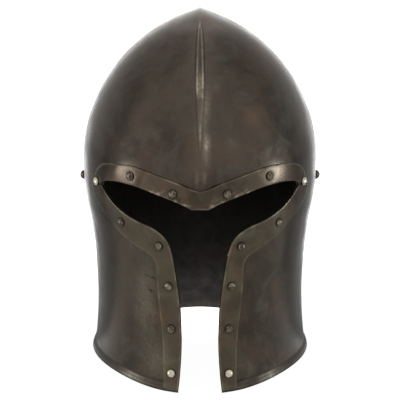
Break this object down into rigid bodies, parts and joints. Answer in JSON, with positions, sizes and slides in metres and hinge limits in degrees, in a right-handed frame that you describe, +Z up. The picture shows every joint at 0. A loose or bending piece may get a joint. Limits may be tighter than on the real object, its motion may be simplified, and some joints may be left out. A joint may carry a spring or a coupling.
{
  "type": "barbute helmet",
  "caption": "Open-faced steel helmet with a T-shaped face opening, riveted reinforcing bands, leather liner and buckled chin strap.",
  "frame": {"origin": "on the plane the rim stands on, below the middle of the helmet's box", "axes": "the face looks along -Y, +X is at the right of someone who looks at the face, +Z is up"},
  "size_m": [0.2096, 0.2446, 0.303],
  "materials": {
    "blackened_steel": "dark brown-black patina, semi-gloss, worn bright along the keel",
    "band_steel": "dark patina, semi-gloss, bright worn edges",
    "rivet_steel": "worn, part polished",
    "liner_leather": "matt vegetable-tanned",
    "strap_leather": "satin, dark",
    "buckle_steel": "satin"
  },
  "bodies": {
    "helmet": {"helmet_shell": "blackened_steel", "brow_band": "band_steel", "cheek_band_left": "band_steel", "cheek_band_right": "band_steel", "brow_rivet_1": "rivet_steel", "brow_rivet_2": "rivet_steel", "brow_rivet_3": "rivet_steel", "brow_rivet_4": "rivet_steel", "temple_rivet_1": "rivet_steel", "temple_rivet_2": "rivet_steel", "cheek_rivet_right_1": "rivet_steel", "cheek_rivet_right_2": "rivet_steel", "cheek_rivet_right_3": "rivet_steel", "cheek_rivet_right_4": "rivet_steel", "cheek_rivet_right_5": "rivet_steel", "cheek_rivet_left_1": "rivet_steel", "cheek_rivet_left_2": "rivet_steel", "cheek_rivet_left_3": "rivet_steel", "cheek_rivet_left_4": "rivet_steel", "cheek_rivet_left_5": "rivet_steel", "liner_rivet_1": "rivet_steel", "liner_rivet_2": "rivet_steel", "liner_rivet_3": "rivet_steel", "liner_rivet_4": "rivet_steel", "liner_rivet_5": "rivet_steel", "liner_rivet_6": "rivet_steel", "chin_strap_rivet_1": "rivet_steel", "chin_strap_rivet_2": "rivet_steel", "liner_washer_1": "rivet_steel", "liner_washer_2": "rivet_steel", "liner_washer_3": "rivet_steel", "liner_washer_4": "rivet_steel", "liner_washer_5": "rivet_steel", "liner_washer_6": "rivet_steel", "liner_washer_7": "rivet_steel", "liner_washer_8": "rivet_steel", "liner_washer_9": "rivet_steel", "liner_washer_10": "rivet_steel", "chin_strap_washer_1": "rivet_steel", "chin_strap_washer_2": "rivet_steel", "liner_band": "liner_leather", "liner_tongue_1": "liner_leather", "liner_tongue_2": "liner_leather", "liner_tongue_3": "liner_leather", "liner_tongue_4": "liner_leather", "liner_tongue_5": "liner_leather", "liner_tongue_6": "liner_leather", "liner_tongue_7": "liner_leather", "liner_tongue_8": "liner_leather", "liner_crown_patch": "liner_leather"},
    "short_strap": {"chin_strap_short": "strap_leather", "strap_fold_rivet": "rivet_steel"},
    "buckle": {"buckle_frame": "buckle_steel"},
    "prong": {"buckle_prong": "buckle_steel"},
    "long_strap": {"chin_strap_long": "strap_leather"},
    "keeper": {"strap_keeper": "strap_leather"}
  },
  "joints": [
    {"name": "short_strap_swing", "type": "hinge", "parent": "helmet", "child": "short_strap", "pos_m": [0.09414, -0.00011, 0.15782], "axis": [1, 0, 0], "range_deg": [-9, 9]},
    {"name": "long_strap_swing", "type": "hinge", "parent": "helmet", "child": "long_strap", "pos_m": [-0.09414, -0.00011, 0.15782], "axis": [1, 0, 0], "range_deg": [-9, 9]},
    {"name": "buckle_tilt", "type": "hinge", "parent": "short_strap", "child": "buckle", "pos_m": [0.08, -0.00011, 0.064], "axis": [0, 1, 0], "range_deg": [-4, 75]},
    {"name": "prong_lift", "type": "hinge", "parent": "buckle", "child": "prong", "pos_m": [0.08, -0.00011, 0.064], "axis": [0, 1, 0], "range_deg": [0, 55]},
    {"name": "keeper_slide", "type": "slide", "parent": "long_strap", "child": "keeper", "axis": [0, 0, 1], "range_m": [-0.01, 0.002]}
  ]
}
